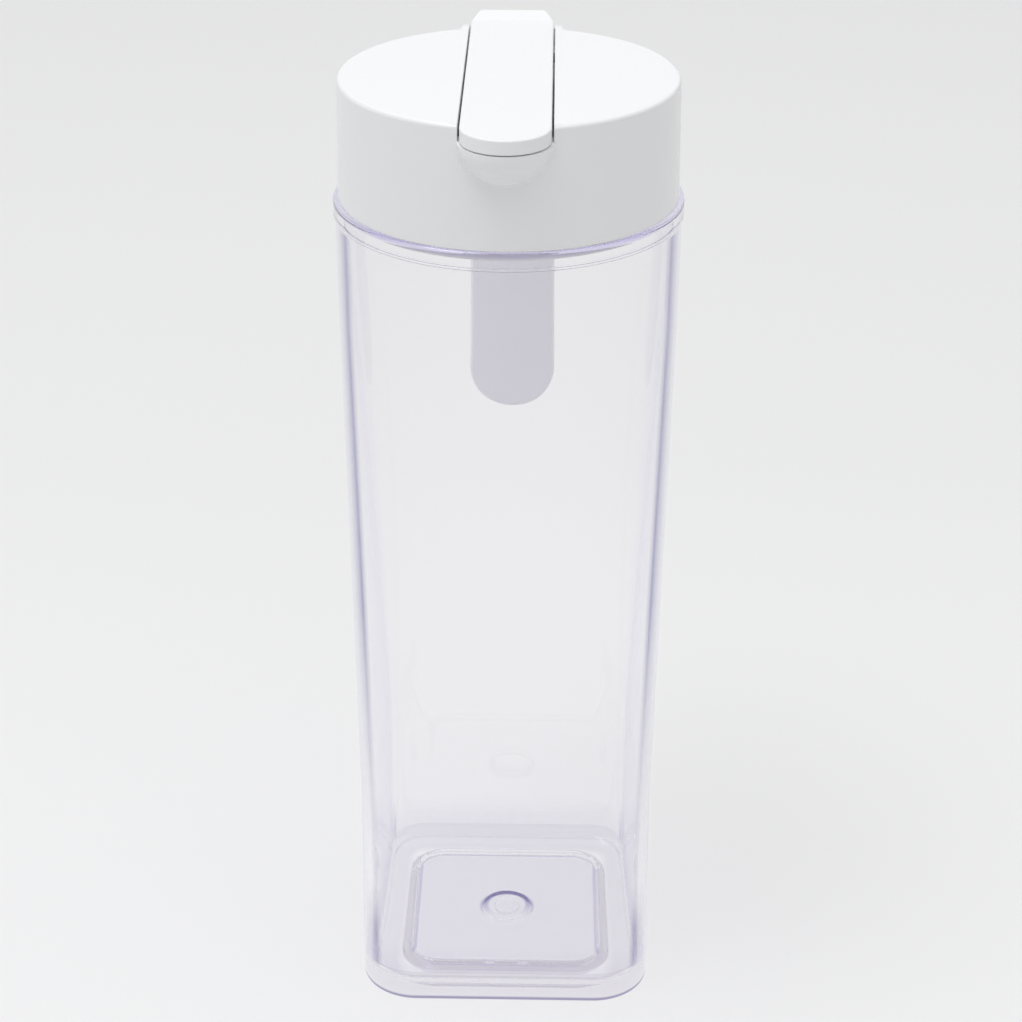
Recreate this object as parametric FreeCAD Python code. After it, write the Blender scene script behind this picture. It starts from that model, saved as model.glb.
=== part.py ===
import FreeCAD, Part
import math
import os

# A tall clear pitcher for water with a white lid, a pour lever and a handle.
# Millimetres. The origin is the middle of the foot, Z is up, the spout points
# to -Y and the handle hangs down behind the vessel on the +Y side.

# Vessel: a rounded square at the foot that turns into a circle at the shoulder
vessel_height = 264.0
foot_width = 94.2
foot_band_height = 10.0
waist_width = 93.0
waist_height = 70.0
shoulder_width = 103.4
shoulder_height = 235.0
collar_width = 103.8
collar_flat = 0.4
corner_radius = 18.0
vessel_wall = 3.0
floor_thickness = 3.8
foot_edge_radius = 1.0
floor_edge_radius = 5.5
rim_overhang = 0.5
rim_height = 5.5
rim_edge_radius = 1.5
mouth_step = 0.6

# Hollow under the floor, with the moulding gate in its middle
recess_width = 68.0
recess_draft = 3.0
recess_depth = 2.5
recess_corner_radius = 12.0
recess_edge_radius = 1.5
raised_floor_margin = 1.0
gate_radius = 8.3
gate_stub_radius = 4.2
gate_depth = 1.8
gate_stub_drop = 1.2

# Lid cover, set in from the rim
lid_height = 36.0
lid_inset = 1.5
skirt_taper = 0.6
skirt_wall = 1.6
lid_plate = 2.2
lid_edge_radius = 1.2

# Channel across the lid that holds the lever, and the tube through its floor
lever_gap = 0.6
lever_rear_gap = 0.5
channel_wall = 2.15
channel_depth = 12.0
channel_floor = 2.0
channel_front_inset = 6.3
outlet_inset = 17.3
outlet_radius = 8.0
outlet_wall = 1.6
outlet_lip = 1.2
outlet_socket_depth = 1.0
tube_clearance = 0.05
tube_flange_overhang = 2.0
tube_flange_thickness = 1.2

# Pouring lip, a half bowl that is widest where it leaves the skirt
scoop_radius = 13.4
scoop_depth = 11.6
scoop_wall = 1.2
scoop_blend_radius = 2.0
notch_depth = 4.6

# Pour lever: a strip flush with the lid, which turns on two stub axles
lever_width = 25.5
lever_thickness = 4.2
lever_nose_setback = 0.2
lever_rim = 1.8
lever_skin = 1.8
lever_edge_radius = 0.5
hinge_inset = 10.3
hinge_drop = 7.0
axle_radius = 1.6
axle_clearance = 0.05
axle_end_gap = 0.3
ear_thickness = 3.0
ear_radius = 3.4
thumb_pad_offset = 6.7
thumb_pad_length = 6.3
thumb_pad_rise = 17.0
thumb_pad_tip_width = 20.8
thumb_pad_corner_radius = 1.5
swing_clearance = 1.0

# Silicone pad that the lever presses on the pour hole
seal_overlap = 2.0
seal_thickness = 2.2
seal_seat_gap = 0.1
seal_stem_radius = 2.5
seal_stem_length = 4.0
seal_boss_wall = 1.6

# Lid liner, the plug that goes into the mouth, and its gasket
plug_depth = 2.7
plug_gap = 1.3
plug_wall = 3.4
liner_plate = 2.0
liner_collar_height = 8.0
liner_collar_wall = 1.8
liner_clearance = 0.1
snap_bead = 0.5
snap_bead_height = 1.4
snap_clearance = 0.1
socket_clearance = 0.2
socket_wall = 1.6
socket_height = 6.0
gasket_height = 1.6
gasket_groove_depth = 1.6
gasket_offset = 0.6
gasket_body = 1.4
gasket_lip = 0.6
gasket_squeeze_gap = 0.15

# Neck and handle
neck_height = 24.0
neck_floor = 3.2
neck_fillet = 2.5
bend_inset = 4.3
bend_radius = 42.0
handle_width = 30.0
handle_thickness = 12.0
handle_wall = 2.2
handle_drop = 104.0
handle_inner_bend = 6.0
handle_edge_radius = 1.5
handle_cover_height = 104.0
handle_cover_depth = 4.0
tongue_length = 17.0
tongue_clearance = 0.2
post_radius = 2.0
post_clearance = 0.05
post_boss_wall = 2.0
post_pitch = 50.0
screw_pitch = 14.0
screw_inset = 9.5
screw_radius = 1.5
screw_hole_clearance = 0.2
screw_length = 7.0
screw_head_radius = 2.7
screw_head_height = 1.4
screw_head_clearance = 0.3
screw_slot_width = 0.8
screw_slot_reach = 1.9
screw_slot_depth = 0.6

# How far a point may be from a face or plane to count as lying on it
tolerance = 0.01

# Places that follow from the sizes above
rim_bottom = vessel_height - rim_height
rim_radius = collar_width / 2 + rim_overhang
mouth_radius = collar_width / 2 - vessel_wall + mouth_step
lid_top = vessel_height + lid_height
skirt_bottom_radius = rim_radius - lid_inset
lid_top_radius = skirt_bottom_radius - skirt_taper
lid_inner_radius = lid_top_radius - skirt_wall
channel_front = lid_top_radius - channel_front_inset
outlet_reach = lid_top_radius - outlet_inset
scoop_reach = math.sqrt(lid_top_radius ** 2 - scoop_radius ** 2)
lever_nose_reach = scoop_reach + scoop_radius - lever_nose_setback
hinge_reach = lid_top_radius - hinge_inset
thumb_pad_start = lid_top_radius + thumb_pad_offset
bend_start = lid_top_radius - bend_inset
skirt_middle = (lid_inner_radius + lid_top_radius) / 2
plate_bottom = lid_top - lid_plate
slot_width = lever_width + 2 * lever_gap
lever_rear_width = slot_width - 2 * lever_rear_gap
neck_width = slot_width + 2 * channel_wall
channel_floor_top = lid_top - channel_depth
channel_floor_bottom = channel_floor_top - channel_floor
scoop_rim = lid_top - notch_depth
lever_bottom = lid_top - lever_thickness
hinge_height = lid_top - hinge_drop
tube_radius = outlet_radius + outlet_wall
seal_top = channel_floor_top + outlet_lip + seal_seat_gap + seal_thickness
liner_plate_bottom = vessel_height - outlet_socket_depth / 2
liner_plate_top = liner_plate_bottom + liner_plate
plug_radius = mouth_radius - plug_gap
collar_radius = lid_inner_radius - liner_clearance
neck_bottom = lid_top - neck_height
handle_bottom = vessel_height - handle_drop
handle_back = bend_start + bend_radius
handle_front = handle_back - handle_thickness
handle_cover_top = handle_bottom + handle_cover_height


def thumb_pad_tip():
    """Return Y and Z of the top edge at the end of the thumb pad."""
    rise = math.radians(thumb_pad_rise)
    y = thumb_pad_start + thumb_pad_length * math.cos(rise)
    z = lid_top + thumb_pad_length * math.sin(rise)
    return y, z


def channel_end():
    """Return Y of the channel's rear wall, just clear of the swinging pad."""
    y, z = thumb_pad_tip()
    swing = math.hypot(y - hinge_reach, z - hinge_height)
    return hinge_reach + swing + swing_clearance


def neck_start():
    """Return Y where the sides of the neck meet the inner face of the skirt."""
    return math.sqrt(lid_inner_radius ** 2 - (neck_width / 2) ** 2)


neck_end = channel_end() + channel_wall


def vector(x, y, z):
    return FreeCAD.Vector(x, y, z)


def block(x0, x1, y0, y1, z0, z1):
    return Part.makeBox(x1 - x0, y1 - y0, z1 - z0, vector(x0, y0, z0))


def upright(radius, z0, z1, x=0.0, y=0.0):
    """Return a cylinder that stands along Z."""
    return Part.makeCylinder(radius, z1 - z0, vector(x, y, z0))


def crosswise(radius, x0, x1, y, z):
    """Return a cylinder that lies along X."""
    return Part.makeCylinder(radius, x1 - x0, vector(x0, y, z), vector(1, 0, 0))


def lengthwise(radius, y0, y1, x, z):
    """Return a cylinder that lies along Y."""
    return Part.makeCylinder(radius, y1 - y0, vector(x, y0, z), vector(0, 1, 0))


def turned(outline):
    """Return the solid that a closed outline of (radius, z) points makes round Z."""
    points = [vector(r, 0, z) for r, z in outline]
    face = Part.Face(Part.makePolygon(points + points[:1]))
    return face.revolve(vector(0, 0, 0), vector(0, 0, 1), 360)


def edges_where(shape, test):
    """Return the edges whose middle point passes the test."""
    found = []
    for edge in shape.Edges:
        middle = edge.valueAt((edge.FirstParameter + edge.LastParameter) / 2)
        if test(middle):
            found.append(edge)
    return found


def edges_at_height(shape, z):
    return edges_where(shape, lambda p: abs(p.z - z) < tolerance)


def rounded_square(width, radius, z):
    """Return a closed wire, a square with rounded corners at height z."""
    half = width / 2
    inner = half - radius
    edges = []
    for quarter in range(4):
        turn = math.pi / 2 * quarter
        middle = turn + math.pi / 4
        end = turn + math.pi / 2
        cx = inner * (math.cos(turn) - math.sin(turn))
        cy = inner * (math.sin(turn) + math.cos(turn))
        points = []
        for angle in (turn, middle, end):
            points.append(vector(cx + radius * math.cos(angle), cy + radius * math.sin(angle), z))
        edges.append(Part.Arc(*points).toShape())
        flat_end = vector(
            points[2].x - 2 * inner * math.cos(turn),
            points[2].y - 2 * inner * math.sin(turn),
            z,
        )
        edges.append(Part.LineSegment(points[2], flat_end).toShape())
    return Part.Wire(edges)


def vessel_block(bottom, inset, edge_radius):
    """Return the vessel's filled shape up to the rim, moved inwards by the inset."""
    shoulder_radius = (shoulder_width - collar_flat) / 2
    collar_radius = (collar_width - collar_flat) / 2
    outlines = [
        (foot_band_height, foot_width, corner_radius),
        (waist_height, waist_width, corner_radius),
        (shoulder_height, shoulder_width, shoulder_radius),
        (rim_bottom, collar_width, collar_radius),
    ]
    foot = Part.Face(rounded_square(foot_width - 2 * inset, corner_radius - inset, bottom))
    filled = foot.extrude(vector(0, 0, foot_band_height - bottom))
    filled = filled.makeFillet(edge_radius, edges_at_height(filled, bottom))
    wires = [rounded_square(width - 2 * inset, radius - inset, z) for z, width, radius in outlines]
    for lower, upper in zip(wires, wires[1:]):
        filled = filled.fuse(Part.makeLoft([lower, upper], True, True))
    return filled


def recess_block(bottom, margin):
    """Return the hollow under the floor, or with a margin the raised floor over it."""
    top = bottom + recess_depth
    wide = rounded_square(recess_width + 2 * margin, recess_corner_radius + margin, bottom)
    narrow_radius = recess_corner_radius + margin - recess_draft
    narrow = rounded_square(recess_width + 2 * margin - 2 * recess_draft, narrow_radius, top)
    tapered = Part.makeLoft([wide, narrow], True, True)
    return tapered.makeFillet(recess_edge_radius, edges_at_height(tapered, top))


def gate_mark():
    """Return the ring-shaped dimple round the moulding gate."""
    top = recess_depth + gate_depth
    ring = upright(gate_radius, 0, top)
    stub = upright(gate_stub_radius, top - gate_stub_drop, top)
    return ring.cut(stub)


def vessel():
    """Return the clear body, open at the top, with its raised floor."""
    outer = vessel_block(0, 0, foot_edge_radius)
    rim = upright(rim_radius, rim_bottom, vessel_height)
    rim = rim.makeFillet(rim_edge_radius, edges_at_height(rim, vessel_height))
    inner = vessel_block(floor_thickness, vessel_wall, floor_edge_radius)
    inner = inner.cut(recess_block(floor_thickness, raised_floor_margin))
    mouth = upright(mouth_radius, rim_bottom, vessel_height)
    body = outer.fuse(rim).cut(inner).cut(mouth)
    return body.cut(recess_block(0, 0)).cut(gate_mark()).removeSplitter()


def bend_profile(inset, front, bottom):
    """Return the side view of neck and handle, moved inwards by the inset.

    The top bends from the lid's top face down to the handle's back.
    """
    outer = bend_radius - inset
    centre_z = lid_top - bend_radius
    inner_bend = handle_inner_bend + inset
    inner_face = handle_front + inset
    underside = neck_bottom + inset
    top_z = centre_z + math.sqrt(outer ** 2 - (front - bend_start) ** 2)
    half_way = (math.asin((front - bend_start) / outer) + math.pi / 2) / 2
    middle = vector(0, bend_start + outer * math.sin(half_way), centre_z + outer * math.cos(half_way))
    back_top = vector(0, bend_start + outer, centre_z)
    corner_y = inner_face - inner_bend
    corner_z = underside - inner_bend
    slant = inner_bend * math.sqrt(0.5)
    start = vector(0, front, top_z)
    back_bottom = vector(0, bend_start + outer, bottom)
    front_bottom = vector(0, inner_face, bottom)
    inner_low = vector(0, inner_face, corner_z)
    inner_middle = vector(0, corner_y + slant, corner_z + slant)
    inner_high = vector(0, corner_y, underside)
    end = vector(0, front, underside)
    edges = [
        Part.Arc(start, middle, back_top).toShape(),
        Part.LineSegment(back_top, back_bottom).toShape(),
        Part.LineSegment(back_bottom, front_bottom).toShape(),
        Part.LineSegment(front_bottom, inner_low).toShape(),
        Part.Arc(inner_low, inner_middle, inner_high).toShape(),
        Part.LineSegment(inner_high, end).toShape(),
        Part.LineSegment(end, start).toShape(),
    ]
    return Part.Face(Part.Wire(edges))


def handle_block(inset):
    """Return the filled handle with its round lower end, moved inwards by the inset."""
    half = handle_width / 2 - inset
    bottom = handle_bottom + inset
    centre_z = bottom + half
    front = neck_end + inset
    face = bend_profile(inset, front, bottom)
    face.translate(vector(-half, 0, 0))
    bent = face.extrude(vector(2 * half, 0, 0))
    outline = block(-half, half, front, handle_back, centre_z, lid_top)
    round_end = lengthwise(half, front, handle_back, 0, centre_z)
    return bent.common(outline.fuse(round_end).removeSplitter())


def handle_posts(radius, y0, y1):
    """Return the row of posts that holds the two halves of the handle together."""
    middle = handle_bottom + handle_cover_height / 2
    posts = []
    for side in (-1, 1):
        posts.append(lengthwise(radius, y0, y1, 0, middle + side * post_pitch / 2))
    return Part.Compound(posts)


def handle_halves():
    """Return the handle's shell and the cover that closes it towards the vessel."""
    filled = handle_block(0)
    rounded = filled.makeFillet(handle_edge_radius, edges_where(filled, on_handle_edge))
    cavity = handle_block(handle_wall)
    hollow = rounded.cut(cavity)
    split = handle_front + handle_cover_depth
    half = handle_width / 2
    cover_space = block(-half, half, handle_front, split, handle_bottom, handle_cover_top)
    shell_wall = handle_back - handle_wall / 2
    boss_radius = post_radius + post_clearance + post_boss_wall
    boss = handle_posts(boss_radius, split + handle_wall / 2, shell_wall)
    shell = hollow.cut(cover_space).fuse(boss)
    shell = shell.cut(handle_posts(post_radius + post_clearance, split, handle_back - handle_wall))
    cover = hollow.common(cover_space)
    post_end = handle_back - handle_wall - post_clearance
    cover = cover.fuse(handle_posts(post_radius, handle_front + handle_wall / 2, post_end))
    return shell, cover


def on_handle_edge(p):
    """Say whether a point lies on an edge along the handle's sides or round its end."""
    half = handle_width / 2
    if p.z < handle_bottom + half + tolerance:
        return min(abs(p.y - handle_front), abs(p.y - handle_back)) < tolerance
    return p.y > neck_end + tolerance and abs(abs(p.x) - half) < tolerance


def screw_places():
    """Return X and Y of each screw that holds the handle in the neck."""
    y = neck_end - screw_inset
    return [(-screw_pitch / 2, y), (screw_pitch / 2, y)]


def tongue():
    """Return the tongue on the handle that fills the neck's tunnel."""
    half = slot_width / 2 - tongue_clearance
    bottom = neck_bottom + neck_floor + tongue_clearance
    top = channel_floor_bottom - tongue_clearance
    root = neck_end + handle_wall / 2
    body = block(-half, half, neck_end - tongue_length, root, bottom, top)
    for x, y in screw_places():
        body = body.cut(upright(screw_radius, bottom, screw_seat() + screw_length, x, y))
    return body


def screw_seat():
    """Return the height of the face under the neck that the screw heads press on."""
    return neck_bottom + screw_head_height + screw_head_clearance


def handle_shell():
    shell, cover = handle_halves()
    return shell.fuse(tongue()).removeSplitter()


def handle_cover():
    shell, cover = handle_halves()
    return cover.removeSplitter()


def handle_screws():
    """Return the two screws, each a round head with a cross slot and a plain shank."""
    screws = []
    seat = screw_seat()
    head_bottom = seat - screw_head_height
    arm = screw_slot_reach
    for x, y in screw_places():
        screw = upright(screw_head_radius, head_bottom, seat, x, y)
        screw = screw.fuse(upright(screw_radius, seat, seat + screw_length, x, y))
        slot_top = head_bottom + screw_slot_depth
        half = screw_slot_width / 2
        screw = screw.cut(block(x - arm, x + arm, y - half, y + half, head_bottom, slot_top))
        screw = screw.cut(block(x - half, x + half, y - arm, y + arm, head_bottom, slot_top))
        screws.append(screw)
    return Part.Compound(screws)


def lid_shell():
    """Return the drum of the lid, open at the bottom."""
    drum = Part.makeCone(skirt_bottom_radius, lid_top_radius, lid_height, vector(0, 0, vessel_height))
    drum = drum.makeFillet(lid_edge_radius, edges_at_height(drum, lid_top))
    return drum.cut(upright(lid_inner_radius, vessel_height, plate_bottom))


def snap_groove():
    """Return the groove inside the skirt that the liner's bead snaps into."""
    z = vessel_height + liner_collar_height - snap_bead_height
    wide = lid_inner_radius + snap_bead + snap_clearance
    low = z - snap_bead_height / 2 - snap_clearance
    high = z + snap_bead_height / 2 + snap_clearance
    return upright(wide, low, high).cut(upright(lid_inner_radius - snap_bead, low, high))


def neck_flares():
    """Return the two small concave blends between the drum and the neck."""
    half = neck_width / 2
    centre_x = half + neck_fillet
    centre_y = math.sqrt((lid_top_radius + neck_fillet) ** 2 - centre_x ** 2)
    touch_x = lid_top_radius * centre_x / (lid_top_radius + neck_fillet)
    flares = []
    for side in (-1, 1):
        x0, x1 = sorted((side * (half - channel_wall), side * touch_x))
        web = block(x0, x1, 0, centre_y, neck_bottom, lid_top)
        web = web.cut(upright(skirt_middle, neck_bottom, lid_top))
        web = web.cut(upright(neck_fillet, neck_bottom, lid_top, side * centre_x, centre_y))
        flares.append(web)
    return flares


def neck_block():
    """Return the filled neck behind the drum, cut off where the handle starts."""
    half = neck_width / 2
    side_view = bend_profile(0, bend_start, handle_bottom)
    side_view.translate(vector(-half, 0, 0))
    bent = side_view.extrude(vector(neck_width, 0, 0))
    level = block(-half, half, 0, bend_start, neck_bottom, lid_top)
    keep = block(-half, half, neck_start(), neck_end, neck_bottom, lid_top)
    return bent.fuse(level).common(keep).removeSplitter()


def channel_body():
    """Return the filled trough that hangs under the lid's plate."""
    half = neck_width / 2
    reach = lid_top_radius
    trough = block(-half, half, -reach, reach, channel_floor_bottom, lid_top)
    return trough.common(upright(skirt_middle, channel_floor_bottom, lid_top))


def scoop_half(radius, depth):
    """Return the lower half of a bowl, round from above and elliptic from the side."""
    centre = vector(0, -scoop_reach, scoop_rim)
    bottom = vector(0, -scoop_reach, scoop_rim - depth)
    side = vector(radius, -scoop_reach, scoop_rim)
    curve = quarter_ellipse(centre, side, bottom)
    lines = [Part.LineSegment(bottom, centre).toShape(), Part.LineSegment(centre, side).toShape()]
    face = Part.Face(Part.Wire([curve] + lines))
    return face.revolve(centre, vector(0, 0, 1), 360)


def quarter_ellipse(centre, side, bottom):
    """Return the quarter of an upright ellipse between its widest and lowest points."""
    width = (side - centre).Length
    depth = (bottom - centre).Length
    ends = (side, bottom) if width > depth else (bottom, side)
    ellipse = Part.Ellipse(ends[0], ends[1], centre)
    return ellipse.toBSpline(0, math.pi / 2).toShape()


def scoop():
    """Return the filled pouring lip outside the skirt."""
    front = -(scoop_reach + scoop_radius)
    rear = -math.sqrt(skirt_middle ** 2 - scoop_radius ** 2)
    bottom = scoop_rim - scoop_depth
    outside = block(-scoop_radius, scoop_radius, front, rear, bottom, scoop_rim)
    outside = outside.cut(upright(skirt_middle, bottom, scoop_rim))
    return scoop_half(scoop_radius, scoop_depth).common(outside)


def on_scoop_joint(p):
    """Say whether a point lies on the edge where the pouring lip leaves the skirt."""
    skirt = skirt_bottom_radius - skirt_taper * (p.z - vessel_height) / lid_height
    low_enough = vessel_height + tolerance < p.z < scoop_rim - tolerance
    return low_enough and p.y < 0 and abs(math.hypot(p.x, p.y) - skirt) < tolerance


def scoop_hollow():
    """Return the space that water runs through, from the channel over the lip."""
    radius = scoop_radius - scoop_wall
    bowl = scoop_half(radius, scoop_depth - scoop_wall)
    trough_length = scoop_reach - channel_front
    section = bowl.slice(vector(0, 1, 0), -scoop_reach)
    trough = Part.Face(Part.Wire(section)).extrude(vector(0, trough_length, 0))
    reach = scoop_reach + scoop_radius
    above_floor = block(-radius, radius, -reach, -channel_front, channel_floor_top, lid_top)
    return bowl.fuse(trough).common(above_floor)


def channel_hollow():
    """Return the space in the channel, with the notch over the scoop."""
    half = slot_width / 2
    low = block(-half, half, -channel_front, channel_end(), channel_floor_top, lid_top)
    reach = scoop_reach + scoop_radius
    notch = block(-half, half, -reach, -channel_front, scoop_rim, lid_top)
    return low.fuse(notch)


def outlet_cylinder(radius, bottom, top):
    """Return a cylinder that stands over the pour hole."""
    return upright(radius, bottom, top, 0, -outlet_reach)


def pour_tube():
    """Return the tube that takes the water up to the channel, with its flange."""
    bottom = liner_plate_top - outlet_socket_depth
    top = channel_floor_top + outlet_lip
    flange_radius = tube_radius + tube_flange_overhang
    flange_bottom = channel_floor_bottom - tube_flange_thickness
    tube = outlet_cylinder(tube_radius, bottom, top)
    tube = tube.fuse(outlet_cylinder(flange_radius, flange_bottom, channel_floor_bottom))
    return tube.cut(outlet_cylinder(outlet_radius, bottom, top)).removeSplitter()


def lid_cover():
    """Return the white lid with its channel, pouring lip and neck."""
    cover = lid_shell().fuse(scoop()).removeSplitter()
    cover = cover.makeFillet(scoop_blend_radius, edges_where(cover, on_scoop_joint))
    cover = cover.fuse([channel_body(), neck_block()] + neck_flares())
    cover = cover.cut([channel_hollow(), scoop_hollow(), snap_groove()])
    tube_hole = tube_radius + tube_clearance
    cover = cover.cut(outlet_cylinder(tube_hole, channel_floor_bottom, channel_floor_top))
    tunnel_half = slot_width / 2
    tunnel_bottom = neck_bottom + neck_floor
    tunnel_top = channel_floor_bottom
    tunnel = block(-tunnel_half, tunnel_half, neck_start(), neck_end, tunnel_bottom, tunnel_top)
    half = neck_width / 2
    bore = crosswise(axle_radius + axle_clearance, -half, half, hinge_reach, hinge_height)
    cover = cover.cut([tunnel, bore])
    head_radius = screw_head_radius + screw_head_clearance
    shank_radius = screw_radius + screw_hole_clearance
    for x, y in screw_places():
        cover = cover.cut(upright(head_radius, neck_bottom, screw_seat(), x, y))
        cover = cover.cut(upright(shank_radius, screw_seat(), tunnel_bottom, x, y))
    return cover.removeSplitter()


def lever_side_view():
    """Return the lever's filled side view, as wide as the strip at its widest."""
    half = lever_rear_width / 2
    rise = math.radians(thumb_pad_rise)
    tip_y, tip_z = thumb_pad_tip()
    low_y = tip_y + lever_thickness * math.sin(rise)
    low_z = tip_z - lever_thickness * math.cos(rise)
    bend_y = thumb_pad_start + lever_thickness * math.tan(rise / 2)
    outline = [
        (-lever_nose_reach, lid_top),
        (thumb_pad_start, lid_top),
        (tip_y, tip_z),
        (low_y, low_z),
        (bend_y, lever_bottom),
        (-lever_nose_reach, lever_bottom),
    ]
    points = [vector(-half, y, z) for y, z in outline]
    face = Part.Face(Part.makePolygon(points + points[:1]))
    return face.extrude(vector(2 * half, 0, 0))


def lever_plan():
    """Return a slab with the strip's outline from above: a round nose, a tapered tail."""
    half = lever_width / 2
    rear_half = lever_rear_width / 2
    centre_y = -(lever_nose_reach - half)
    tip_y, tip_z = thumb_pad_tip()
    end_y = tip_y + lever_thickness
    taper = (rear_half - thumb_pad_tip_width / 2) / (tip_y - thumb_pad_start)
    end_half = rear_half - taper * (end_y - thumb_pad_start)
    left = vector(-half, centre_y, lever_bottom)
    nose = vector(0, -lever_nose_reach, lever_bottom)
    right = vector(half, centre_y, lever_bottom)
    waist_right = vector(rear_half, thumb_pad_start, lever_bottom)
    end_right = vector(end_half, end_y, lever_bottom)
    end_left = vector(-end_half, end_y, lever_bottom)
    waist_left = vector(-rear_half, thumb_pad_start, lever_bottom)
    edges = [
        Part.Arc(left, nose, right).toShape(),
        Part.LineSegment(right, waist_right).toShape(),
        Part.LineSegment(waist_right, end_right).toShape(),
        Part.LineSegment(end_right, end_left).toShape(),
        Part.LineSegment(end_left, waist_left).toShape(),
        Part.LineSegment(waist_left, left).toShape(),
    ]
    return Part.Face(Part.Wire(edges)).extrude(vector(0, 0, tip_z - lever_bottom))


def on_lever_top_edge(p):
    """Say whether a point lies on the edge round the strip's top, not on its crease."""
    along_pad = p.y - thumb_pad_start
    if along_pad < tolerance:
        return abs(p.z - lid_top) < tolerance and abs(along_pad) > tolerance
    rise = math.tan(math.radians(thumb_pad_rise)) * along_pad
    return abs(p.z - lid_top - rise) < tolerance


def lever_pocket():
    """Return the pocket under the strip, which leaves a rim and a cross rib."""
    half = lever_width / 2 - lever_rim
    top = lid_top - lever_skin
    centre_y = -(lever_nose_reach - lever_width / 2)
    rear = hinge_reach - ear_radius - lever_rim
    pocket = block(-half, half, centre_y, rear, lever_bottom, top)
    return pocket.fuse(upright(half, lever_bottom, top, 0, centre_y))


def lever_ears():
    """Return the two ears under the strip with their stub axles."""
    outer = lever_width / 2
    axle_end = neck_width / 2 - axle_end_gap
    ears = []
    for side in (-1, 1):
        x0, x1 = sorted((side * (outer - ear_thickness), side * outer))
        front = hinge_reach - ear_radius
        web = block(x0, x1, front, hinge_reach + ear_radius, hinge_height, lever_bottom)
        a0, a1 = sorted((side * (outer - ear_thickness), side * axle_end))
        ears.append(web)
        ears.append(crosswise(ear_radius, x0, x1, hinge_reach, hinge_height))
        ears.append(crosswise(axle_radius, a0, a1, hinge_reach, hinge_height))
    return ears


def pour_lever():
    """Return the strip across the lid that lifts off the pour hole."""
    tip_y, tip_z = thumb_pad_tip()
    strip = lever_side_view().common(lever_plan())
    corners = edges_where(strip, lambda p: p.y > tip_y - tolerance and abs(p.x) > tolerance)
    strip = strip.makeFillet(thumb_pad_corner_radius, corners)
    strip = strip.makeFillet(lever_edge_radius, edges_where(strip, on_lever_top_edge))
    boss_radius = seal_stem_radius + seal_boss_wall
    boss = outlet_cylinder(boss_radius, seal_top, lid_top - lever_skin / 2)
    strip = strip.cut(lever_pocket()).fuse([boss] + lever_ears())
    stem_hole = outlet_cylinder(seal_stem_radius, seal_top, seal_top + seal_stem_length)
    return strip.cut(stem_hole).removeSplitter()


def spout_seal():
    """Return the silicone pad with its stem."""
    radius = outlet_radius + seal_overlap
    bottom = seal_top - seal_thickness
    pad = outlet_cylinder(radius, bottom, seal_top)
    return pad.fuse(outlet_cylinder(seal_stem_radius, seal_top, seal_top + seal_stem_length))


def lid_liner():
    """Return the inner lid, the plug with its gasket groove and the snap collar."""
    plug_bottom = liner_plate_bottom - plug_depth
    collar_top = vessel_height + liner_collar_height
    plug = turned([
        (plug_radius - plug_wall, plug_bottom),
        (plug_radius, plug_bottom),
        (plug_radius, vessel_height),
        (plug_radius - plug_wall, vessel_height),
    ])
    plate = upright(collar_radius, vessel_height, liner_plate_top)
    plate = plate.fuse(upright(plug_radius, liner_plate_bottom, vessel_height))
    collar = upright(collar_radius, vessel_height, collar_top)
    collar = collar.cut(upright(collar_radius - liner_collar_wall, vessel_height, collar_top))
    bead_z = collar_top - snap_bead_height
    bead = turned([
        (collar_radius - liner_collar_wall / 2, bead_z - snap_bead_height / 2),
        (collar_radius, bead_z - snap_bead_height / 2),
        (collar_radius + snap_bead, bead_z),
        (collar_radius, bead_z + snap_bead_height / 2),
        (collar_radius - liner_collar_wall / 2, bead_z + snap_bead_height / 2),
    ])
    hole_radius = tube_radius + socket_clearance
    socket_top = liner_plate_top + socket_height
    socket = outlet_cylinder(hole_radius + socket_wall, liner_plate_bottom, socket_top)
    liner = plug.fuse([plate, collar, bead, socket])
    liner = liner.cut(outlet_cylinder(hole_radius, liner_plate_bottom, socket_top))
    return liner.cut(gasket_groove()).removeSplitter()


def gasket_groove():
    low = gasket_bottom()
    high = low + gasket_height
    ring = upright(plug_radius, low, high)
    return ring.cut(upright(plug_radius - gasket_groove_depth, low, high))


def gasket_bottom():
    return liner_plate_bottom - plug_depth + gasket_offset


def lid_gasket():
    """Return the silicone ring with the lip that presses on the mouth."""
    low = gasket_bottom()
    high = low + gasket_height
    middle = (low + high) / 2
    inner = plug_radius - gasket_groove_depth
    body = inner + gasket_body
    lip_tip = mouth_radius - gasket_squeeze_gap
    return turned([
        (inner, low),
        (body, low),
        (lip_tip, middle - gasket_lip / 2),
        (lip_tip, middle + gasket_lip / 2),
        (body, high),
        (inner, high),
    ])


pieces = {
    "vessel": vessel,
    "lid_cover": lid_cover,
    "lid_liner": lid_liner,
    "lid_gasket": lid_gasket,
    "pour_tube": pour_tube,
    "pour_lever": pour_lever,
    "spout_seal": spout_seal,
    "handle_shell": handle_shell,
    "handle_cover": handle_cover,
    "handle_screws": handle_screws,
}

os.makedirs("parts", exist_ok=True)
for name, make in pieces.items():
    shape = make()
    shape.exportStep("parts/" + name + ".step")
    print(name, len(shape.Solids), "solid", round(shape.Volume / 1000, 2), "cm3", shape.isValid())
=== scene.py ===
import math

import bmesh
import bpy
from mathutils import Matrix, Vector


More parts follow.
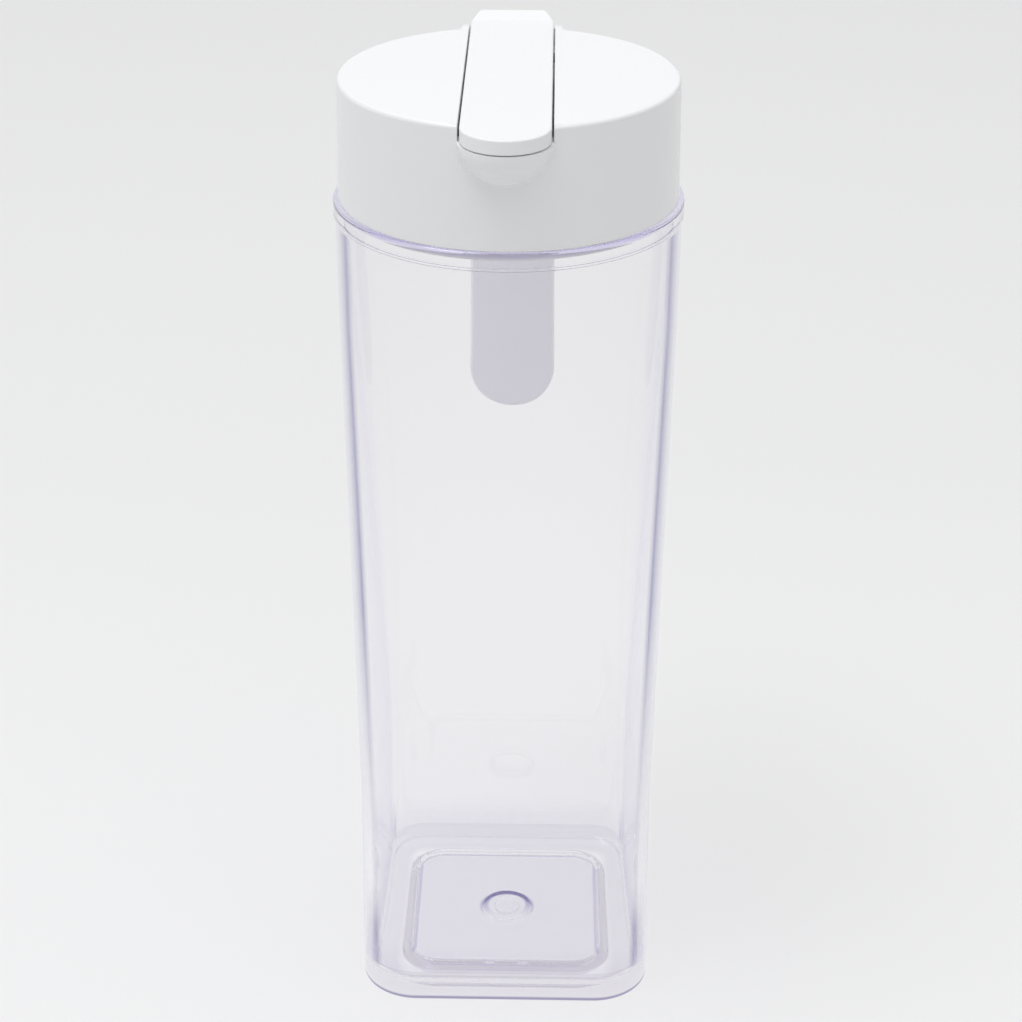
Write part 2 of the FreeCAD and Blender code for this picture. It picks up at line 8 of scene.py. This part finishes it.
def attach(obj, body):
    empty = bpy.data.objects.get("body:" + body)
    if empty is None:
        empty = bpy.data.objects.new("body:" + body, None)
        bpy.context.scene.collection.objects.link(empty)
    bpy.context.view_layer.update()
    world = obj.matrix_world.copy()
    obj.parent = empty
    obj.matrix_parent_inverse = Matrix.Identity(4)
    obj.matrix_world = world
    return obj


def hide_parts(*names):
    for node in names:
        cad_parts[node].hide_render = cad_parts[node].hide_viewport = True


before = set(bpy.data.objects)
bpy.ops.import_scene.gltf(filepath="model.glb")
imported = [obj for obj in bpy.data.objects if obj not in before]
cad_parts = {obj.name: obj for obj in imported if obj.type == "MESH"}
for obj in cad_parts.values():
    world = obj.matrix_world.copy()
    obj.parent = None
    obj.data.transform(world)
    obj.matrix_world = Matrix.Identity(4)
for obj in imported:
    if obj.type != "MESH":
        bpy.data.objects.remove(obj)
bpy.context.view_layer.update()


# The camera stands in front of the pitcher and looks down on it, a touch to
# the right of its middle and with the slightest roll. Light runs a long way
# inside the clear walls, so it is followed for many bounces.
def add_object(name, data):
    """Return a new object of the scene that shows the data."""
    thing = bpy.data.objects.new(name, data)
    bpy.context.scene.collection.objects.link(thing)
    return thing


camera_data = bpy.data.cameras.new("camera")
camera_data.sensor_width = 36.0
camera_data.lens = 86.85
camera_data.clip_end = 20.0
camera = add_object("camera", camera_data)
heading = Matrix.Rotation(math.radians(1.01), 4, "Z")
tilt = Matrix.Rotation(math.radians(90.0 - 26.86), 4, "X")
roll = Matrix.Rotation(0.0031, 4, "Z")
camera.matrix_world = Matrix.Translation((0.0133, -0.6991, 0.5112)) @ heading @ tilt @ roll
bpy.context.scene.camera = camera
bpy.context.scene.view_settings.view_transform = "Standard"
bpy.context.scene.cycles.max_bounces = 128
bpy.context.scene.cycles.transmission_bounces = 128
bpy.context.scene.cycles.glossy_bounces = 128
bpy.context.scene.cycles.diffuse_bounces = 16
bpy.context.scene.cycles.transparent_max_bounces = 24


# Studio: a pale floor that rises behind into a backdrop, an even white surround
# that is brightest overhead and one large soft lamp on the upper left. What is
# seen of the floor, straight or through the clear walls, is a pale paper white.
MM = 0.001
floor_front, floor_back, floor_half_width = -2.2, 2.4, 4.0
backdrop_height, backdrop_bend, bend_parts = 3.2, 0.9, 12
floor_lift = 0.02 * MM
floor_white, floor_fading, floor_least = 1.03, 0.28, 0.93
floor_glow_seen, floor_glow_in_plastic = 0.40, 0.56
light_all_round, light_from_above = 0.24, 0.98
surround_seen, surround_in_plastic = 0.85, 0.92


class Socket:
    """One output of a node. A sum with it adds the Math node that works it out."""

    def __init__(self, tree, output):
        self.tree = tree
        self.output = output

    def then(self, operation, *values):
        return maths(self.tree, operation, self, *values)

    def __add__(self, other):
        return maths(self.tree, "ADD", self, other)

    def __radd__(self, other):
        return maths(self.tree, "ADD", other, self)

    def __sub__(self, other):
        return maths(self.tree, "SUBTRACT", self, other)

    def __rsub__(self, other):
        return maths(self.tree, "SUBTRACT", other, self)

    def __mul__(self, other):
        return maths(self.tree, "MULTIPLY", self, other)

    def __rmul__(self, other):
        return maths(self.tree, "MULTIPLY", other, self)

    def __truediv__(self, other):
        return maths(self.tree, "DIVIDE", self, other)


def connect(tree, socket, value):
    if isinstance(value, Socket):
        tree.links.new(value.output, socket)
    else:
        socket.default_value = value


def add_node(tree, kind, settings=None, **values):
    """Add a node: its settings first, then the values or links of its sockets."""
    node = tree.nodes.new(kind)
    for name, value in (settings or {}).items():
        setattr(node, name, value)
    for name, value in values.items():
        connect(tree, node.inputs[name.replace("_", " ")], value)
    return node


def value_of(tree, kind, output=0, settings=None, **values):
    """Add a node in the same way and return one of its outputs."""
    return Socket(tree, add_node(tree, kind, settings, **values).outputs[output])


def maths(tree, operation, *values):
    node = add_node(tree, "ShaderNodeMath", {"operation": operation})
    for place, value in enumerate(values):
        connect(tree, node.inputs[place], value)
    return Socket(tree, node.outputs[0])


def split(tree, vector):
    """Return the three numbers of a vector."""
    node = add_node(tree, "ShaderNodeSeparateXYZ", Vector=vector)
    return [Socket(tree, node.outputs[axis]) for axis in range(3)]


def plain_material(name):
    material = bpy.data.materials.new(name)
    material.use_nodes = True
    tree = material.node_tree
    tree.nodes.clear()
    return material, tree, add_node(tree, "ShaderNodeOutputMaterial")


def either(tree, factor, one, other):
    """Return the one shader where the factor is 0 and the other where it is 1."""
    node = add_node(tree, "ShaderNodeMixShader")
    for place, value in enumerate((factor, one, other)):
        connect(tree, node.inputs[place], value)
    return Socket(tree, node.outputs[0])


def ray(tree, *kinds):
    """Return a socket that is 1 for a ray of one of the kinds, and otherwise 0."""
    path = add_node(tree, "ShaderNodeLightPath")
    found = Socket(tree, path.outputs["Is " + kinds[0] + " Ray"])
    for kind in kinds[1:]:
        found = found.then("MAXIMUM", Socket(tree, path.outputs["Is " + kind + " Ray"]))
    return found


def studio_floor():
    """Return the floor, whose back bends up into the backdrop.

    It lies a hair above the plane of the foot, so no light gets in between.
    """
    bend_start = floor_back - backdrop_bend
    profile = [(floor_front, 0.0), (bend_start, 0.0)]
    for step in range(1, bend_parts + 1):
        angle = math.pi / 2 * step / bend_parts
        y = bend_start + backdrop_bend * math.sin(angle)
        profile.append((y, backdrop_bend - backdrop_bend * math.cos(angle)))
    profile.append((floor_back, backdrop_height))
    sides = (-floor_half_width, floor_half_width)
    verts = [(x, y, z + floor_lift) for y, z in profile for x in sides]
    faces = [(2 * i, 2 * i + 1, 2 * i + 3, 2 * i + 2) for i in range(len(profile) - 1)]
    mesh = bpy.data.meshes.new("studio_floor")
    mesh.from_pydata(verts, [], faces)
    mesh.shade_smooth()
    return add_object("studio_floor", mesh)


floor = studio_floor()
material, tree, out = plain_material("pale_paper")
material.cycles.emission_sampling = "NONE"
depth = split(tree, value_of(tree, "ShaderNodeTexCoord", "Object"))[1]
pale = (floor_white - depth * floor_fading).then("MAXIMUM", floor_least)
shade = value_of(tree, "ShaderNodeCombineColor", Red=pale, Green=pale, Blue=pale)
glow = value_of(tree, "ShaderNodeEmission", Color=shade)
paper = value_of(
    tree, "ShaderNodeBsdfPrincipled", Base_Color=(0.76, 0.76, 0.76, 1.0), Roughness=0.9,
    Specular_IOR_Level=0.0,
)
in_plastic = ray(tree, "Transmission", "Glossy")
glowing = ray(tree, "Camera") * floor_glow_seen + in_plastic * floor_glow_in_plastic
connect(tree, out.inputs["Surface"], either(tree, glowing, paper, glow))
floor.data.materials.append(material)

world = bpy.data.worlds.new("white_surround")
bpy.context.scene.world = world
world.use_nodes = True
tree = world.node_tree
sky = tree.nodes["Background"]
sky.inputs["Color"].default_value = (1.0, 1.0, 1.0, 1.0)
up = split(tree, value_of(tree, "ShaderNodeTexCoord", "Generated"))[2]
seen, in_plastic = ray(tree, "Camera"), ray(tree, "Glossy", "Transmission")
light = up.then("MAXIMUM", 0.0) * light_from_above + light_all_round
strength = light * (1 - seen - in_plastic) + seen * surround_seen
connect(tree, sky.inputs["Strength"], strength + in_plastic * surround_in_plastic)

lamp_data = bpy.data.lights.new("upper_left_lamp", "AREA")
lamp_data.shape = "DISK"
lamp_data.size = 0.9
lamp_data.energy = 8.6
lamp_data.color = (0.92, 0.945, 1.0)
lamp = add_object("upper_left_lamp", lamp_data)
lamp_place, lamp_target = Vector((-0.55, -0.2, 1.85)), Vector((0.0, 0.0, 0.2))
aim = (lamp_target - lamp_place).to_track_quat("-Z", "Y")
lamp.matrix_world = Matrix.Translation(lamp_place) @ aim.to_matrix().to_4x4()


# Vessel: the clear injection-moulded body. Its foot is a rounded square that
# turns into a circle at the shoulder, a bead runs round the rim, and the floor
# rises over a hollow with the mark of the moulding gate in its middle.
vessel_height = 264.0
foot_width = 94.2
foot_band_height = 10.0
waist_width = 93.0
waist_height = 70.0
shoulder_width = 103.4
shoulder_height = 235.0
collar_width = 103.8
collar_flat = 0.4
corner_radius = 18.0
vessel_wall = 3.0
floor_thickness = 3.8
foot_edge_radius = 1.0
floor_edge_radius = 5.5
rim_overhang = 0.5
rim_height = 5.5
rim_edge_radius = 1.5
mouth_step = 0.6
recess_width = 68.0
recess_draft = 3.0
recess_depth = 2.5
recess_corner_radius = 12.0
recess_edge_radius = 2.2
recess_foot_radius = 1.4
raised_floor_margin = 1.0
raised_floor_foot_radius = 2.0
gate_radius = 8.3
gate_stub_radius = 4.2
gate_depth = 1.8
gate_stub_drop = 1.2
gate_edge_radius = 0.2
soft_corner = 0.25


def along(start, end, distance):
    """Return the point that lies a distance from start on the way to end."""
    share = distance / math.hypot(end[0] - start[0], end[2] - start[2])
    return tuple(a + (b - a) * share for a, b in zip(start[:3], end[:3]))


def section_line(corners):
    """Return the points of a section whose corners are (half width, corner radius,
    height, edge radius), with each edge rounded and held by a point on either side."""
    arc_parts, holding_gap, longest_step, sharp = 6, 0.15, 6.0, 1e-4
    points = [corners[0][:3]]
    for before, here, after in zip(corners, corners[1:], corners[2:]):
        incoming = Vector((here[0] - before[0], here[2] - before[2]))
        outgoing = Vector((after[0] - here[0], after[2] - here[2]))
        reach = here[3] * math.tan(incoming.angle(outgoing) / 2)
        if reach < sharp:
            points.append(here[:3])
            continue
        low, high = along(here, before, reach), along(here, after, reach)
        points.append(along(here, before, reach + holding_gap))
        for part in range(arc_parts + 1):
            turn = math.pi / 2 * part / arc_parts
            a, b = 1 - math.sin(turn), 1 - math.cos(turn)
            points.append(tuple(c + (p - c) * a + (q - c) * b for p, c, q in zip(low, here, high)))
        points.append(along(here, after, reach + holding_gap))
    points.append(corners[-1][:3])
    filled = [points[0]]
    for low, high in zip(points, points[1:]):
        parts = max(1, round(abs(high[2] - low[2]) / longest_step))
        for part in range(1, parts + 1):
            filled.append(tuple(a + (b - a) * part / parts for a, b in zip(low, high)))
    return filled


def vessel_corners():
    """Return the corners of the vessel's section, from under its floor to over it."""
    rim_bottom = vessel_height - rim_height
    rim_radius = (collar_width + 2 * rim_overhang) / 2
    mouth_radius = collar_width / 2 - vessel_wall + mouth_step
    gate_top = recess_depth + gate_depth
    stub_bottom = gate_top - gate_stub_drop
    half, corner = recess_width / 2, recess_corner_radius
    corners = [(0.0, 0.0, stub_bottom, 0.0)]
    for radius, height in (
        (gate_stub_radius, stub_bottom), (gate_stub_radius, gate_top),
        (gate_radius, gate_top), (gate_radius, recess_depth),
    ):
        corners.append((radius, radius, height, gate_edge_radius))
    corners += [
        (half - recess_draft, corner - recess_draft, recess_depth, recess_edge_radius),
        (half, corner, 0.0, recess_foot_radius),
        (foot_width / 2, corner_radius, 0.0, foot_edge_radius),
    ]
    outside = [
        (foot_width / 2, corner_radius, foot_band_height, 0.0),
        (waist_width / 2, corner_radius, waist_height, 0.0),
        (shoulder_width / 2, (shoulder_width - collar_flat) / 2, shoulder_height, 0.0),
        (collar_width / 2, (collar_width - collar_flat) / 2, rim_bottom, soft_corner),
    ]
    corners += outside + [
        (rim_radius, rim_radius, rim_bottom, soft_corner),
        (rim_radius, rim_radius, vessel_height, rim_edge_radius),
        (mouth_radius, mouth_radius, vessel_height, soft_corner),
        (mouth_radius, mouth_radius, rim_bottom, soft_corner),
    ]
    corners += [(h - vessel_wall, c - vessel_wall, z, r) for h, c, z, r in reversed(outside)]
    low, high = floor_thickness, floor_thickness + recess_depth
    half, corner = half + raised_floor_margin, corner + raised_floor_margin
    corners += [
        (foot_width / 2 - vessel_wall, corner_radius - vessel_wall, low, floor_edge_radius),
        (half, corner, low, raised_floor_foot_radius),
        (half - recess_draft, corner - recess_draft, high, recess_edge_radius),
        (0.0, 0.0, high, 0.0),
    ]
    return corners


def outline_tree(material):
    """Return the Geometry Nodes that lead a section round a square with round corners."""
    tree = bpy.data.node_groups.new("section_round_a_square", "GeometryNodeTree")
    for name, kind in (("Section", "Geometry"), ("Points Around", "Int"), ("Seam Gap", "Float")):
        tree.interface.new_socket(name, in_out="INPUT", socket_type="NodeSocket" + kind)
    tree.interface.new_socket("Skin", in_out="OUTPUT", socket_type="NodeSocketGeometry")
    given = add_node(tree, "NodeGroupInput")
    section, around, gap = (Socket(tree, given.outputs[place]) for place in range(3))
    size = value_of(
        tree, "GeometryNodeAttributeDomainSize", "Point Count", {"component": "MESH"},
        Geometry=section,
    )
    grid = value_of(tree, "GeometryNodeMeshGrid", Vertices_X=around + 1, Vertices_Y=size)
    index = value_of(tree, "GeometryNodeInputIndex")
    column = (index / size).then("FLOOR")
    angle = column * (2 * math.pi) / around
    sample = add_node(
        tree, "GeometryNodeSampleIndex", {"data_type": "FLOAT_VECTOR"}, Geometry=section,
        Index=index - column * size,
    )
    sampled = [s for s in sample.inputs if s.name == "Value" and s.enabled][0]
    connect(tree, sampled, value_of(tree, "GeometryNodeInputPosition"))
    found = Socket(tree, [s for s in sample.outputs if s.enabled][0])
    half, corner, height = split(tree, found)
    cosine, sine = angle.then("COSINE"), angle.then("SINE")
    along_x, along_y = cosine.then("ABSOLUTE"), sine.then("ABSOLUTE")
    most, least = along_x.then("MAXIMUM", along_y), along_x.then("MINIMUM", along_y)
    inner = half - corner
    flat = (half * least).then("LESS_THAN", inner * most)
    middle = inner * (along_x + along_y)
    under_root = middle * middle - inner * inner * 2 + corner * corner
    curved = middle + under_root.then("MAXIMUM", 0.0).then("SQRT")
    reach = half / most * flat + curved * (1 - flat)
    point = value_of(tree, "ShaderNodeCombineXYZ", X=reach * cosine, Y=reach * sine, Z=height)
    skin = value_of(tree, "GeometryNodeSetPosition", Geometry=grid, Position=point)
    skin = value_of(tree, "GeometryNodeMergeByDistance", Geometry=skin, Distance=gap)
    skin = value_of(tree, "GeometryNodeRealizeInstances", Geometry=skin)
    skin = value_of(tree, "GeometryNodeSetMaterial", Geometry=skin, Material=material)
    connect(tree, add_node(tree, "NodeGroupOutput").inputs[0], skin)
    return tree


def baked(name, base, tree, **inputs):
    """Return a plain mesh object made by the tree from the base, with its inputs set."""
    maker = add_object(name + "_maker", base)
    modifier = maker.modifiers.new("maker", "NODES")
    modifier.node_group = tree
    for item in tree.interface.items_tree:
        key = item.name.replace(" ", "_")
        if key in inputs:
            modifier[item.identifier] = inputs[key]
    graph = bpy.context.evaluated_depsgraph_get()
    mesh = bpy.data.meshes.new_from_object(maker.evaluated_get(graph))
    bpy.data.objects.remove(maker)
    mesh.name = name
    return add_object(name, mesh)


def noise(tree, place, scale, detail):
    """Return noise between 0 and 1, with its scale in waves per metre."""
    return value_of(tree, "ShaderNodeTexNoise", Vector=place, Scale=scale, Detail=detail)


def mixed(tree, factor, one, other):
    """Return a colour between two colours."""
    node = add_node(tree, "ShaderNodeMix", {"data_type": "RGBA"})
    for place, value in ((0, factor), (6, one), (7, other)):
        connect(tree, node.inputs[place], value)
    return Socket(tree, node.outputs[2])


def clipped(value):
    """Return the value held between 0 and 1."""
    return value.then("MAXIMUM", 0.0).then("MINIMUM", 1.0)


def rising(value, start, length):
    """Return 0 up to the start and 1 from a length beyond it."""
    return clipped((value - start) / length)


def falling(value, end, length):
    """Return 1 up to a length before the end and 0 from the end on."""
    return clipped((end - value) / length)


def stripe(value, middle, half, fade):
    """Return 1 round the middle, which fades out to 0 at a half width from it."""
    return falling((value - middle).then("ABSOLUTE"), half, fade)


# The tint is faint in the walls and darker low down: partly the plastic's own
# tint in the thick floor, partly painted shade of the shadowed floor seen through
# the base. Over it lie dark violet lines and bands of painted shade where the eye
# looks along the plastic: at the silhouettes, down the corners, low in the side
# walls, round the floor and the hollow under it, round the foot and along its
# bottom edge, at the back of the ring that the gate left and along the rim. The
# hollow's slope is left untinted. All its lengths are millimetres, as those of
# the vessel are.
material, tree, out = plain_material("clear_violet_plastic")
place = value_of(tree, "ShaderNodeTexCoord", "Object")
x, y, z = (part / MM for part in split(tree, place))
lean_x, lean_y = split(tree, value_of(tree, "ShaderNodeTexCoord", "Normal"))[:2]
facing = value_of(tree, "ShaderNodeLayerWeight", "Facing", Blend=0.5)
width, length = x.then("ABSOLUTE"), y.then("ABSOLUTE")
outward = (x * lean_x + y * lean_y).then("GREATER_THAN", 10.0)
straight = foot_width / 2 - corner_radius
out_x, out_y = (width - straight).then("MAXIMUM", 0.0), (length - straight).then("MAXIMUM", 0.0)
from_outline = corner_radius - (out_x * out_x + out_y * out_y).then("SQRT")
from_middle = (x * x + y * y).then("SQRT")
inner_wall_from, inner_wall_to = 42.8, 45.7
hollow_slope, hollow_edges = 14.5, (13.8, 16.6)
shade_ring_top, hollow_top, underside_top, gate_top = 9.5, 6.5, 3.0, 5.0

deep = (z - 140.0).then("ABSOLUTE") * 0.005 - 0.3
deep = clipped(noise(tree, place, 14.0, 1.0) * 0.5 + deep)
front_edge = falling(y, -31.0, 3.0) * falling(width, 36.0, 4.0) * (1 - outward)
# Darker low down: partly the thick floor's own tint, partly painted shade of the shadowed floor
# seen through the base, but not at the front of the floor inside.
low_tint_and_floor_shade = falling(z, 21.0, 12.0) * (1 - front_edge)
# Painted shade: violet where the surface is seen edge-on, at the silhouettes.
painted_silhouette_shade = facing.then("POWER", 5.0)

# Painted shade: dark violet bands down the corners, where the walls turn away from the eye.
above_waist = rising(z, waist_height, shoulder_height - waist_height)
start = above_waist.then("POWER", 0.7) * 0.22 + 0.40
fading = clipped((1 - facing) / (0.92 - start)).then("POWER", 2.0)
flat_side = (1 - above_waist) * (waist_width / 2 - corner_radius)
on_corner = rising(width.then("MINIMUM", length), flat_side, 1.0)
below_rim = z.then("LESS_THAN", vessel_height - rim_height - 1.0)
painted_corner_shade = rising(facing, start, 0.08) * fading * on_corner * outward * below_rim
painted_corner_shade = painted_corner_shade * (rising(z, 40.0, 100.0) + stripe(z, 20.0, 23.4, 18.0) * 0.8)
# Painted shade: short violet wedges low in the side walls, on their inner faces.
inner_side = width.then("GREATER_THAN", inner_wall_from) * width.then("LESS_THAN", inner_wall_to)
painted_side_wall_shade = inner_side * falling(z, 26.0, 22.0) * falling(length, 40.0, 6.0)

# Painted shade: a darker ring round the floor inside, but not at its front, and violet lines along
# the edges of the hollow under it. The hollow's slope is left untinted, lighter than the shade
# round it.
painted_floor_ring_shade = falling(from_outline, 12.5, 2.0) * from_outline.then("GREATER_THAN", 2.5)
painted_floor_ring_shade = painted_floor_ring_shade * z.then("LESS_THAN", shade_ring_top) * (1 - outward) * (1 - front_edge)
slope = stripe(from_outline, hollow_slope, 1.6, 0.8) * z.then("LESS_THAN", hollow_top)
edges = [stripe(from_outline, edge, 0.75, 0.5) for edge in hollow_edges]
painted_recess_shade = edges[0].then("MAXIMUM", edges[1]) * z.then("LESS_THAN", underside_top)
# Painted shade: a darker band round the outside of the foot and a dark line along its bottom edge,
# where it meets the floor.
painted_foot_shade = outward * z.then("LESS_THAN", foot_band_height)
painted_foot_contact_shade = outward * falling(from_outline, 2.0, 2 / 3) * falling(z, 2.0, 2 / 3)
# Painted shade: a dark violet ring round the gate, on its back half only.
painted_gate_ring_shade = stripe(from_middle, gate_radius - 0.5, 1.9, 1.0) * z.then("LESS_THAN", gate_top)
painted_gate_ring_shade = painted_gate_ring_shade * rising(y, -6.25, 25 / 3)
# Painted shade: a violet line along the top of the rim's outer face, fading out towards the sides.
painted_rim_shade = outward * rising(z, vessel_height - 1.8, 0.8) * falling(width, 48.0, 10.0)

# The plastic's own faint tint, then the masks one after another, which paint shade over it; the
# slope's row sets it back to clear.
tint = mixed(tree, deep, (0.974, 0.972, 0.981, 1.0), (0.94, 0.937, 0.95, 1.0))
for mask, colour in (
    (low_tint_and_floor_shade, (0.88, 0.87, 0.92, 1.0)),
    (painted_silhouette_shade, (0.62, 0.58, 0.80, 1.0)),
    (painted_corner_shade, (0.15, 0.14, 0.33, 1.0)),
    (painted_side_wall_shade, (0.45, 0.42, 0.56, 1.0)),
    (painted_floor_ring_shade, (0.74, 0.72, 0.80, 1.0)),
    (slope, (1.0, 1.0, 1.0, 1.0)),
    (painted_recess_shade, (0.46, 0.42, 0.68, 1.0)),
    (painted_foot_shade, (0.71, 0.69, 0.745, 1.0)),
    (painted_foot_contact_shade, (0.14, 0.12, 0.26, 1.0)),
    (painted_gate_ring_shade, (0.12, 0.09, 0.36, 1.0)),
    (painted_rim_shade, (0.58, 0.53, 0.80, 1.0)),
):
    tint = mixed(tree, mask, tint, colour)

# Light that only passes on to other surfaces goes through a film of the same
# faint violet, and what is seen is bent by the solid plastic.
clear = value_of(
    tree, "ShaderNodeBsdfPrincipled", Base_Color=tint, Roughness=0.0, IOR=1.54,
    Transmission_Weight=1.0,
)
film = value_of(tree, "ShaderNodeBsdfTransparent", Color=(0.962, 0.958, 0.978, 1.0))
passing = ray(tree, "Shadow", "Diffuse")
connect(tree, out.inputs["Surface"], either(tree, passing, clear, film))
inside = value_of(
    tree, "ShaderNodeVolumeAbsorption", Color=(0.68, 0.64, 0.86, 1.0), Density=2.0,
)
connect(tree, out.inputs["Volume"], inside)

section = bpy.data.meshes.new("vessel_section")
section.from_pydata([Vector(point) * MM for point in section_line(vessel_corners())], [], [])
vessel = baked(
    "vessel_body", section, outline_tree(material), Points_Around=288, Seam_Gap=0.002 * MM,
)
solid = bmesh.new()
solid.from_mesh(vessel.data)
bmesh.ops.recalc_face_normals(solid, faces=solid.faces)
solid.to_mesh(vessel.data)
solid.free()
vessel.data.shade_smooth()
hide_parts("vessel")
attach(vessel, "vessel")


# Inner lid and pour tube: matt white polypropylene mouldings. The plug hangs
# in the mouth, the collar snaps into the lid and the tube takes the water up.
def moulded(name, light, dark, sheen, grain, edge, **constants):
    """Return a moulded material: faintly cloudy, with a fine grain and soft edges.

    Sheen is its lowest and highest roughness, grain the depth of its grain and
    edge the width over which light softens its edges, both in millimetres. The
    constants are values of the shader's own sockets.
    """
    material, tree, out = plain_material(name)
    place = value_of(tree, "ShaderNodeTexCoord", "Object")
    clouds = noise(tree, place, 24.0, 3.0)
    fine = noise(tree, place, 1900.0, 2.0)
    swirl = noise(tree, place, 70.0, 1.0)
    swirl_depth = 0.012
    softened = value_of(tree, "ShaderNodeBevel", settings={"samples": 6}, Radius=edge * MM)
    skin = value_of(
        tree, "ShaderNodeBump", Strength=1.0, Distance=1.0,
        Height=fine * (grain * MM) + swirl * (swirl_depth * MM), Normal=softened,
    )
    shader = value_of(
        tree, "ShaderNodeBsdfPrincipled",
        Base_Color=mixed(tree, clouds, light + (1.0,), dark + (1.0,)),
        Roughness=fine * (sheen[1] - sheen[0]) + sheen[0],
        Normal=skin, **constants,
    )
    connect(tree, out.inputs["Surface"], shader)
    return material


def dress(material, *names):
    """Give solids of the fixed model their material."""
    for name in names:
        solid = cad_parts[name]
        solid.data.materials.clear()
        solid.data.materials.append(material)


matt_white = moulded(
    "matt_white_polypropylene", light=(0.865, 0.868, 0.882), dark=(0.84, 0.844, 0.86),
    sheen=(0.42, 0.55), grain=0.004, edge=0.3, IOR=1.49,
)
dress(matt_white, "lid_liner", "pour_tube")


# Gasket and spout seal: soft white silicone. The ring lies in the plug's groove
# with one lip along the mouth's wall, and the pad closes the top of the tube.
silicone = moulded(
    "white_silicone", light=(0.83, 0.83, 0.83), dark=(0.79, 0.79, 0.80),
    sheen=(0.5, 0.66), grain=0.006, edge=0.2, IOR=1.41,
    Subsurface_Weight=0.3, Subsurface_Radius=(0.0012, 0.0011, 0.001),
)
dress(silicone, "lid_gasket", "spout_seal")


# Lid and lever: satin white mouldings. The lever lies in the lid's channel and
# turns on two stub axles, moulded on it, in bores in the channel's side walls.
satin_white = moulded(
    "satin_white_plastic", light=(0.900, 0.904, 0.912), dark=(0.885, 0.890, 0.898),
    sheen=(0.20, 0.30), grain=0.0012, edge=0.3,
)
dress(satin_white, "lid_cover", "pour_lever")


# Handle: a moulded shell with a cover that closes its side towards the vessel.
# Both have a lighter copy of the lid's white, painted light for a part seen
# behind the clear walls, with a slightly softer sheen.
# Painted light: a lighter white than the lid's, so the handle behind the clear walls shows
# brighter.
lightened_handle_white = moulded(
    "handle_white_plastic", light=(0.940, 0.935, 0.955), dark=(0.925, 0.920, 0.941),
    sheen=(0.24, 0.34), grain=0.0015, edge=0.4,
)
dress(lightened_handle_white, "handle_shell", "handle_cover")


# Screws: two plain steel screws with cross slots, driven up through the neck,
# which hold the handle's tongue. They are turned, with fine marks and stains.
material, tree, out = plain_material("turned_steel")
place = value_of(tree, "ShaderNodeTexCoord", "Object")
marks = noise(tree, place, 900.0, 4.0)
stains = noise(tree, place, 260.0, 2.0)
turned = value_of(tree, "ShaderNodeBump", Strength=1.0, Distance=0.01 * MM, Height=marks)
steel = value_of(
    tree, "ShaderNodeBsdfPrincipled",
    Base_Color=mixed(tree, stains, (0.60, 0.60, 0.61, 1.0), (0.47, 0.47, 0.48, 1.0)),
    Roughness=marks * 0.2 + 0.25, Normal=turned, Metallic=1.0,
)
connect(tree, out.inputs["Surface"], steel)
dress(material, "handle_screws")
